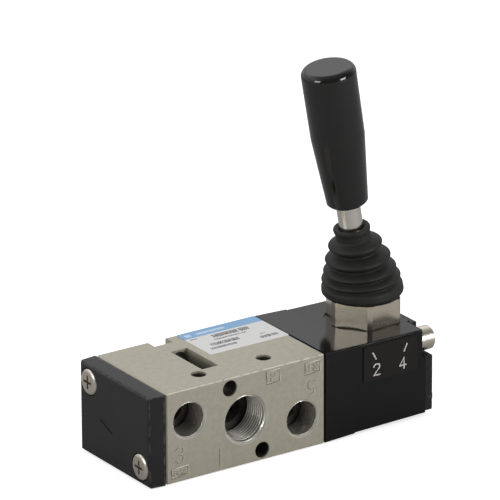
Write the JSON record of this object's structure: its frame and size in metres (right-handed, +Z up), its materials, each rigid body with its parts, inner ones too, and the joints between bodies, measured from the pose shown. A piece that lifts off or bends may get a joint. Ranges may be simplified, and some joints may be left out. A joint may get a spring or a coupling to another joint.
{
  "type": "hand lever air valve",
  "caption": "Spool valve for compressed air: ported metal body with a black end cap, and a lever housing with a hexagon gland nut, rubber bellows and tilting hand lever.",
  "frame": {"origin": "centre of the valve body's underside", "axes": "+X along the spool from the end cap to the lever housing, -Y out of the face with ports 1, 3 and 5, +Z up"},
  "size_m": [0.093, 0.0334, 0.0994],
  "materials": {
    "body": "satin champagne anodised, fine hairline",
    "black_cap": "satin black",
    "housing_black": "glossy black",
    "nickel": "bright nickel plate",
    "steel": "turned steel",
    "knob_black": "polished black",
    "boot_rubber": "matte black",
    "seal_rubber": "matte",
    "gasket": "matte",
    "brass": "turned",
    "nylon": "natural nylon",
    "label": "white film with a blue band",
    "plate": "satin black with pale marks",
    "spool_aluminium": "hard anodised"
  },
  "bodies": {
    "valve": {"valve_body": "body", "end_cap": "black_cap", "end_cap_gasket": "gasket", "end_cap_screws": "nickel", "housing_gasket": "gasket", "lever_housing": "housing_black", "lock_washers": "nickel", "housing_screws": "nickel", "rear_cover": "black_cap", "rear_cover_screws": "nickel", "position_plate": "plate", "flow_label": "label", "rod_seal": "seal_rubber", "seal_retainer": "brass", "detent_spring": "steel", "gland_nut": "nickel", "ball_seat": "nylon", "ball_retainer": "nylon", "boot": "boot_rubber"},
    "spool_set": {"spool": "spool_aluminium", "spool_seals": "seal_rubber", "spool_yoke": "steel"},
    "lever": {"lever_rod": "steel", "pivot_ball": "steel", "tip_ball": "steel", "knob_insert": "brass", "lever_knob": "knob_black"}
  },
  "joints": [
    {"name": "lever_tilt", "type": "hinge", "parent": "valve", "child": "lever", "pos_m": [0.0492, 0, 0.0279], "axis": [0, 1, 0], "range_deg": [0, 18.8], "deforming": ["boot"]},
    {"name": "spool_slide", "type": "slide", "parent": "valve", "child": "spool_set", "axis": [1, 0, 0], "range_m": [-0.00501, 0], "deforming": ["detent_spring"]}
  ],
  "couplings": [
    {"joint": "spool_slide", "follows": "lever_tilt", "m_per_rad": -0.015238}
  ]
}
